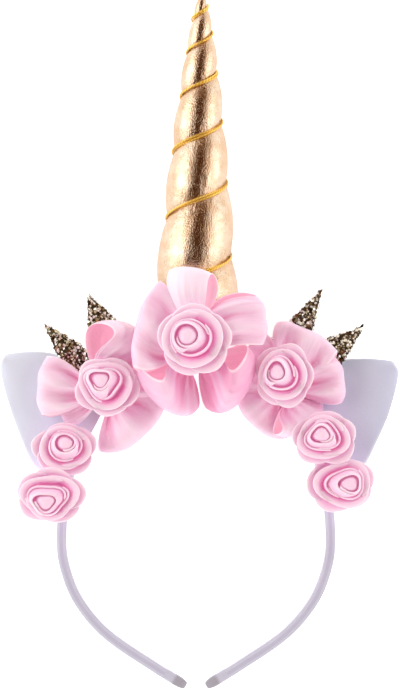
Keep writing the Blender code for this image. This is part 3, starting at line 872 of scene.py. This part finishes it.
# Bows
# Each bow is one length of wide pink satin ribbon, gathered and tied in its middle into five soft loops. The
# loops puff open, and folds run out from the gathers.
RIBBON = 0.35
RIBBON_ROOT = 3.8
RIBBON_ROOT_WIDTH = 3.4
RIBBON_ROOT_GAP = 0.9
RIBBON_CROWN = 1.2
GATHER_HOLD = 1.5                    # the gathers hold the ribbon narrow this far past its root
GATHER_PLEATS = 5.0
# painted light and shade in the satin's tone: its base level, lighter fold crests and darker valleys, darker
# near the roots and on a rolled loop's lowered side
SATIN_TONE = 0.62
SATIN_FOLD_SHADING = 0.3
SATIN_ROOT_SHADE = 0.62
SATIN_ROOT_REACH = 0.66
SATIN_ROLL_SHADE = 0.011
LOOP_STATIONS = 45
LOOP_COLUMNS = 27
BOW_CENTRES = {
    # name: x, y, underside, top
    "bow_centre": (-1.5, -4.5, 10.3, 34.0),
    "bow_left": (-45.0, -22.0, 15.2, 22.0),
    "bow_right": (44.0, -21.0, 15.2, 22.0),
}
BOW_LOOPS = {
    # angle it points at, reach, width, slant of its end, bend of its way out, height at its root and end,
    # flare, puff, roll, slide of its top layer, rounding of its end, gather, folds, their height and phase,
    # and how much lighter its satin is painted, as painted light
    "bow_centre": (
        (91.0, 45.5, 21.5, -8.0, 0.0, 30.5, 40.5, 2.0, 3.4, -18.0, -2.0, 0.04, 0.6, 1.0, 0.9, 0.0, 0.5),
        (142.5, 34.5, 46.0, 20.0, 0.0, 30.5, 40.0, 0.8, 3.8, 10.0, 0.0, 0.17, 1.0, 2.2, 1.7, 0.6, 0.0),
        (30.5, 42.5, 24.5, -22.0, 46.0, 30.5, 41.0, 0.45, 3.6, -6.0, 1.5, 0.09, 0.9, 2.2, 1.6, 1.9, 0.0),
        (-31.0, 31.5, 37.0, 0.0, 0.0, 30.0, 31.0, 0.6, 10.0, 52.0, 3.0, 0.32, 0.9, 1.2, 1.0, 0.4, -0.35),
        (-130.0, 28.7, 36.0, 0.0, 0.0, 30.0, 30.0, 0.55, 9.4, -50.0, -3.0, 0.32, 0.9, 1.4, 1.4, 2.4, -0.1),
    ),
    "bow_left": (
        (172.0, 34.5, 30.0, 3.0, 0.0, 20.0, 21.5, 1.0, 3.6, 6.0, 0.0, 0.10, 0.9, 2.2, 1.6, 1.2, 0.1),
        (67.0, 36.5, 28.0, -6.0, 38.0, 19.0, 24.5, 0.9, 7.8, 38.0, 3.0, 0.16, 0.8, 1.2, 0.9, 0.2, 0.1),
        (-50.0, 28.5, 45.0, 0.0, 0.0, 18.5, 15.5, 0.8, 3.8, 6.0, 0.0, 0.30, 0.8, 1.6, 1.3, 1.0, 0.1),
        (-151.0, 25.0, 13.0, 0.0, 0.0, 18.5, 17.6, 1.0, 2.2, -6.0, 0.0, 0.18, 0.6, 1.2, 0.7, 2.0, 0.2),
        (30.0, 27.0, 26.0, 0.0, 0.0, 18.7, 17.6, 0.8, 2.4, 0.0, 0.0, 0.18, 0.6, 1.6, 0.6, 0.0, 0.0),
    ),
    "bow_right": (
        (67.5, 33.5, 34.0, -3.0, 0.0, 19.0, 21.0, 1.0, 3.8, -8.0, 0.0, 0.10, 0.9, 2.0, 1.8, 0.9, 0.1),
        (14.0, 31.0, 25.0, -3.0, 0.0, 19.0, 21.2, 1.0, 3.6, 8.0, 0.0, 0.12, 0.9, 1.8, 1.6, 2.1, 0.0),
        (-60.0, 22.5, 29.0, 0.0, 0.0, 18.5, 19.5, 0.6, 4.8, -34.0, -1.0, 0.26, 0.6, 1.0, 0.8, 0.5, 0.2),
        (-131.0, 23.0, 36.0, 0.0, 0.0, 18.5, 17.6, 0.5, 3.4, -4.0, 0.0, 0.34, 0.8, 1.4, 1.1, 1.7, 0.1),
        (144.0, 28.5, 37.0, 0.0, 0.0, 18.5, 18.5, 0.7, 2.6, 0.0, 0.0, 0.14, 0.6, 1.4, 0.8, 0.0, 0.0),
    ),
}
KNOT_PLEATS = 13
KNOT = (
    # radius, part of the height
    (3.2, 0.0), (5.0, 0.03), (5.7, 0.25), (5.9, 0.5), (5.7, 0.75), (4.8, 0.96), (3.0, 1.0),
)


def satin_finish(name, colours, painted_glow_colour, painted_glow):
    """Pink satin with a soft sheen, a fine weave and small creases that run out from the gathers. Its colour
    holds painted light and shade from the tone, a painted highlight along its edges and a painted glow.
    """
    satin, tree = shader_tree(name)
    tone = tree.mark("tone")
    length = tree.mark("length")
    across = tree.mark("across")
    place = tree.place()
    cloudy = tree.noise(place, 60.0)
    weft = tree.wave(length, 0.5)
    crease = tree.noise(tree.vector(across * 3.2, length / 34.0, tone * 2.0), 1.6, 2.0, 0.45)
    # painted light and shade: the tone, shifted by the creases and a cloudy noise, picks the colour from deep
    # to light
    level = tone + (crease - 0.5) * 0.35 + (cloudy - 0.5) * 0.2
    colour = tree.ramp(level, list(zip((0.0, 0.5, 1.0), colours)))
    # painted highlight: the ribbon's edges are tinted lighter, as if they caught the light
    edge_highlight = tree.step(tree.maths("ABSOLUTE", across), 0.93, 0.97)
    colour = tree.tint(edge_highlight * 0.6, colour, "#FFF0F6")
    height = crease * (1.6 - tone) * 2.4 + weft * 0.08
    coat(tree, {
        "Base Color": colour, "Roughness": 0.28 + cloudy * 0.1, "Specular IOR Level": 0.9,
        # painted light: a weak pink emission lifts the satin's shaded parts
        "Emission Color": painted_glow_colour, "Emission Strength": painted_glow,
        "Subsurface Weight": 0.1, "Subsurface Radius": (1.0, 0.7, 0.8), "Subsurface Scale": 1.0 * MM,
        "Normal": tree.bump(height, 0.5, 0.8)})
    return satin


def ribbon_loop(centre, row):
    """One loop: out along the underside, round the fold and back over the top. Its length comes with it."""
    (angle, reach, width, slant, bend, root_z, end_z, flare, puff, roll, slide, rounding, gather, folds,
     fold_height, phase, painted_light) = row
    around = np.linspace(0.0, 2.0 * math.pi, LOOP_STATIONS)[:, None]
    across = np.linspace(-1.0, 1.0, LOOP_COLUMNS)[None, :]
    end = reach * (1.0 - rounding * np.abs(across) ** 2.6)
    run = RIBBON_ROOT + (end - RIBBON_ROOT) * np.abs(np.sin(around / 2)) ** 0.8
    part = (run - RIBBON_ROOT) / (end - RIBBON_ROOT)
    opened = np.maximum(run - RIBBON_ROOT - GATHER_HOLD, 0.0) / (reach - RIBBON_ROOT - GATHER_HOLD)
    opened = np.sin(np.minimum(opened * 1.2, 1.0) * math.pi / 2) ** flare
    layer = -np.sin(around) * puff * smooth_step(run / reach * 1.2) * (1.0 - 0.2 * across ** 2)
    layer -= RIBBON_ROOT_GAP * np.cos(around / 2)
    swing = phase + 0.9 * np.cos(around / 2)
    pleat = (1.0 - part) ** 1.3 * np.cos(math.pi * GATHER_PLEATS * across + swing)
    fold = np.sin(math.pi * np.clip(part, 0.0, 1.0) ** 0.8) ** 1.1
    fold = fold * np.cos(math.pi * folds * across + swing * 2.0)
    layer += gather * pleat + fold_height * fold
    layer -= RIBBON_CROWN * opened * across ** 2
    run = run + 0.2 * fold_height * part ** 3 * np.cos(math.pi * folds * across + phase * 2.0)
    spread = (RIBBON_ROOT_WIDTH + (width - RIBBON_ROOT_WIDTH) * opened) * 0.5 * across
    tilt = np.radians(roll) * opened
    side = spread * np.cos(tilt) - layer * np.sin(tilt) + slide * np.sin(around) * opened
    height = spread * np.sin(tilt) + layer * np.cos(tilt)
    turned = np.radians(angle + 90.0 + slant * opened)
    middle = root_z + (end_z - root_z) * smooth_step(run / (reach * 0.5))
    heading = np.radians(angle + bend * (1.0 - part))
    x = centre[0] + np.cos(heading) * run + np.cos(turned) * side
    y = centre[1] + np.sin(heading) * run + np.sin(turned) * side
    spots = np.stack([x, y, middle + height], axis=-1)
    steps = np.linalg.norm(np.diff(spots[:, LOOP_COLUMNS // 2], axis=0), axis=1)
    length = np.concatenate([[0.0], np.cumsum(steps)])[:, None]
    # painted light and shade: lighter where folds and pleats stand up, darker in their valleys, near the root
    # and on the lowered side of a rolled loop; painted_light makes a whole loop lighter
    tone = SATIN_TONE + painted_light + SATIN_FOLD_SHADING * fold + SATIN_FOLD_SHADING * pleat
    tone = tone - SATIN_ROOT_SHADE * smooth_step(1.0 - part / SATIN_ROOT_REACH)
    shaded_side = smooth_step((-across * math.copysign(1.0, roll) - 0.3) / 0.6)
    tone = tone - SATIN_ROLL_SHADE * abs(roll) * shaded_side
    return (spots, {"tone": tone, "length": length, "across": across}), length[-1, 0]


def knot_grid(centre, underside, top):
    """The gathered and tied middle."""
    turn = np.linspace(0.0, 2.0 * math.pi, KNOT_PLEATS * 4 + 1)[None, :]
    radius = np.array([row[0] for row in KNOT])[:, None] * (1.0 + 0.06 * np.cos(KNOT_PLEATS * turn))
    level = underside + (top - underside) * np.array([row[1] for row in KNOT])[:, None]
    radius = np.vstack([radius[:1] * 0.0, radius, radius[:1] * 0.0])
    level = np.vstack([level[:1], level, level[-1:]])
    spots = np.stack([
        centre[0] + radius * np.cos(turn), centre[1] + radius * np.sin(turn),
        np.broadcast_to(level, radius.shape)], axis=-1)
    # painted shade: the gathered middle gets a low tone, so it is deep pink
    return spots, {"tone": 0.1, "length": level, "across": 0.0}


# painted light and shade: the loops' back faces get a darker copy of the satin with a stronger painted glow,
# for the shaded insides of the loops
satin = satin_finish("pink_satin", ("#E59ABF", "#EAC6DE", "#F4E8F5"), "#E87AA8", 0.11)
satin_back = satin_finish("pink_satin_back", ("#D2A0BC", "#DAB1C8", "#E6C8D9"), "#FFBACB", 0.32)
for name, (x, y, underside, top) in BOW_CENTRES.items():
    loops = [ribbon_loop((x, y), row) for row in BOW_LOOPS[name]]
    grids = [grid for grid, _ in loops] + [knot_grid((x, y), underside, top)]
    bow = grid_piece(name + "_ribbon", grids, satin)
    bow.data.materials.append(satin_back)
    thicken(bow, RIBBON, 1)
    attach(bow, "root")
    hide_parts(name)
    ribbon_length = sum(length for _, length in loops) * MM


# Roses
# Soft foam roses, each cut from thin pink foam: a rolled bud, wrapped petals round it, then open petals whose
# lips curl over. A short foam cup under the petals is glued to the bow, the ear or the band.
FOAM = 1.1
ROSE_LEAN_END = 8.0
Rose = namedtuple(
    "Rose", "foot_x foot_y foot_z x y z half_x half_y turn bud_x bud_y corners corner_turn seed")
ROSES = {
    "rose_centre": Rose(
        -1.5, -4.5, 34.3, -0.3, 4.8, 48.0, 18.4, 18.0,
        20.0, -3.75, 2.25, 0.02, 0.0, 3),
    "rose_left_upper": Rose(
        -45.0, -22.0, 22.3, -44.0, -18.5, 33.0, 16.6, 14.9,
        55.0, -3.5, 3.5, 0.13, 270.0, 5),
    "rose_left_middle": Rose(
        -59.5, -50.0, 12.6, -65.5, -49.6, 22.5, 16.2, 13.8,
        90.0, 0.25, 3.0, 0.03, 0.0, 7),
    "rose_left_lower": Rose(
        -65.5, -71.5, 10.3, -72.2, -72.0, 27.5, 17.9, 14.0,
        10.0, -2.75, -3.75, 0.14, 30.0, 11),
    "rose_right_upper": Rose(
        44.0, -21.0, 22.3, 44.5, -13.0, 33.0, 14.9, 16.2,
        0.0, -4.0, 2.0, 0.06, 90.0, 13),
    "rose_right_middle": Rose(
        57.5, -45.0, 12.6, 64.3, -44.2, 27.5, 16.4, 13.6,
        90.0, -1.75, 2.0, 0.10, 90.0, 17),
    "rose_right_lower": Rose(
        64.5, -66.5, 10.3, 71.8, -66.8, 22.5, 17.6, 14.6,
        30.0, 4.75, 0.0, 0.10, 180.0, 19),
}
ROSE_CUP = (
    # part of the half width, height, over the foot or over the open petals
    (0.0, "foot", 0.0), (0.20, "foot", 0.0), (0.26, "foot", 1.0), (0.30, "foot", 2.6),
    (0.36, "petals", -7.0), (0.42, "petals", -2.8), (0.30, "petals", -1.6), (0.0, "petals", -1.6),
)
Petal = namedtuple(
    "Petal",
    "count columns half base_part lip_part base lip bow curl spiral notch point base_share lip_share turn")
PETALS = (
    # half is half its angle, parts are of the rose's half width, and shares are of the bud's shift
    Petal(1, 46, 232.0, 0.46, 0.29, -1.0, 9.2, 1.7, 0.030, 0.06, 0.00, 0.00, 0.55, 1.15, 30.0),
    Petal(2, 31, 112.0, 0.51, 0.50, -2.0, 6.4, 1.0, 0.035, 0.04, 0.06, 0.00, 0.5, 0.65, 100.0),
    Petal(3, 15, 84.0, 0.53, 0.74, -2.6, 4.6, 1.3, 0.080, 0.03, 0.14, 0.03, 0.2, 0.35, 15.0),
    Petal(5, 15, 52.0, 0.38, 0.93, -8.0, 1.6, 1.0, 0.060, 0.02, 0.26, 0.08, 0.0, 0.05, 0.0),
)
ROSE_PLUG = (
    # part of the half width, height
    (0.27, -1.0), (0.275, 5.4), (0.22, 6.3), (0.195, 7.4), (0.165, 8.6), (0.10, 9.4), (0.0, 9.7),
)
PETAL_ROWS = 14
PETAL_BASE_SPAN = 0.75               # of its angle
PETAL_JITTER = 7.0                   # degrees
LIP_FROM = 0.76
LIP_DROP = 1.1
PLUG_POINTS = 41
PLUG_SHADE = (0.3, 0.86)
CUP_POINTS = 33
CUP_SHADE = 0.55


def foam_finish():
    """Matt pink foam, with painted shade making it deep pink inside the rose, painted light making the petals
    paler and the lips nearly white, and a painted pink glow.
    """
    foam, tree = shader_tree("pink_foam")
    shade = tree.mark("shade")
    place = tree.place()
    pores = tree.noise(place, 1700.0)
    # painted shade and light: the shade value runs from the petals' bottoms, painted deep pink, to their
    # lips, painted nearly white
    colour = tree.ramp(shade, (
        (0.05, "#EAB0D2"), (0.3, "#EBBDDA"), (0.55, "#EDCAE1"), (0.8, "#F0D7E8"), (1.0, "#F6E7F2")))
    coat(tree, {
        "Base Color": colour, "Roughness": 0.62, "Emission Strength": 0.2,
        # painted light: a pink emission, strongest deep in the rose, stands in for light through the foam
        "Emission Color": tree.tint(tree.step(shade, 0.05, 0.75), "#EE94BF", "#963E69"),
        "Subsurface Weight": 0.35,
        "Subsurface Radius": (1.0, 0.6, 0.75), "Subsurface Scale": 2.0 * MM,
        "Normal": tree.bump(pores, 0.12, 0.2)})
    return foam


def petal_grid(rose, petal, start, chance):
    """One petal, from its base inside the rose to its lip, whose edge turns over a little."""
    side = np.linspace(-1.0, 1.0, petal.columns)[None, :]
    up = np.linspace(0.0, 1.0, PETAL_ROWS)[:, None]
    lip = petal.lip + chance.uniform(-0.5, 0.5) + chance.uniform(-0.7, 0.7) * side
    lip_part = petal.lip_part * chance.uniform(0.95, 1.03)
    rise = up * (1.0 - petal.notch * np.abs(side) ** 2.6)
    angle = np.radians(start + petal.half * side * (PETAL_BASE_SPAN + (1.0 - PETAL_BASE_SPAN) * up))
    part = petal.base_part + (lip_part - petal.base_part) * rise ** petal.bow + petal.spiral * side
    corner = np.cos(3.0 * (angle - np.radians(rose.corner_turn)))
    part = part * (1.0 + rose.corners * smooth_step((0.9 - lip_part) / 0.3) * corner)
    ruffle = np.cos(side * chance.uniform(3.0, 6.0) + chance.uniform(0.0, 6.0))
    part = part + chance.uniform(0.0, 0.03) * lip_part * ruffle * rise ** 2
    peak = np.maximum(1.0 - np.abs(side) * 1.6, 0.0) ** 1.5 * rise ** 3
    part = part + chance.uniform(0.2, 1.0) * petal.point * peak
    turn_over = smooth_step((rise - LIP_FROM) / (1.0 - LIP_FROM))
    height = petal.base + (lip - petal.base) * rise ** 0.7
    height = height + chance.uniform(0.2, 0.8) * rise ** 3 * np.cos(side * 3.0 + chance.uniform(0.0, 6.0))
    height = height - LIP_DROP * turn_over ** 2
    part = part + petal.curl * turn_over
    share = petal.base_share + (petal.lip_share - petal.base_share) * rise
    spots = np.stack([
        rose.x + rose.bud_x * share + rose.half_x * part * np.cos(angle),
        rose.y + rose.bud_y * share + rose.half_y * part * np.sin(angle), rose.z + height], axis=-1)
    return spots, {"shade": rise}


def turned_grid(rose, x, y, level, part, turn):
    """Rings round a place in the rose, each with its own level and width."""
    level = np.broadcast_to(level, (len(level), turn.shape[1]))
    return np.stack([
        x + rose.half_x * part * np.cos(turn), y + rose.half_y * part * np.sin(turn), level], axis=-1)


def plug_grid(rose):
    """The rolled middle of the bud, a small dome."""
    turn = np.linspace(0.0, 2.0 * math.pi, PLUG_POINTS)[None, :]
    part = np.array([row[0] for row in ROSE_PLUG])[:, None]
    part = part * (1.0 + rose.corners * np.cos(3.0 * (turn - math.radians(rose.corner_turn))))
    level = rose.z + np.array([row[1] for row in ROSE_PLUG])[:, None]
    rise = np.linspace(*PLUG_SHADE, len(ROSE_PLUG))[:, None]
    return turned_grid(rose, rose.x + rose.bud_x, rose.y + rose.bud_y, level, part, turn), {"shade": rise}


def rose_cup(rose):
    """The foam cup from the foot up to the petals, which leans out to where they stand."""
    turn = np.linspace(0.0, 2.0 * math.pi, CUP_POINTS)[None, :]
    starts = {"foot": rose.foot_z, "petals": rose.z}
    level = np.array([starts[start] + height for _, start, height in ROSE_CUP])[:, None]
    part = np.array([row[0] for row in ROSE_CUP])[:, None]
    lean = smooth_step((level - rose.foot_z) / (rose.z - ROSE_LEAN_END - rose.foot_z))
    x = rose.foot_x + (rose.x - rose.foot_x) * lean
    y = rose.foot_y + (rose.y - rose.foot_y) * lean
    return turned_grid(rose, x, y, level, part, turn), {"shade": CUP_SHADE}


foam = foam_finish()
for name, rose in ROSES.items():
    chance = np.random.default_rng(rose.seed)
    grids = [rose_cup(rose), plug_grid(rose)]
    for petal in PETALS:
        for number in range(petal.count):
            start = rose.turn + petal.turn + 360.0 * number / petal.count
            start += chance.uniform(-PETAL_JITTER, PETAL_JITTER)
            grids.append(petal_grid(rose, petal, start, chance))
    blossom = grid_piece(name + "_petals", grids, foam)
    thicken(blossom, FOAM)
    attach(blossom, "root")
    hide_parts(name)
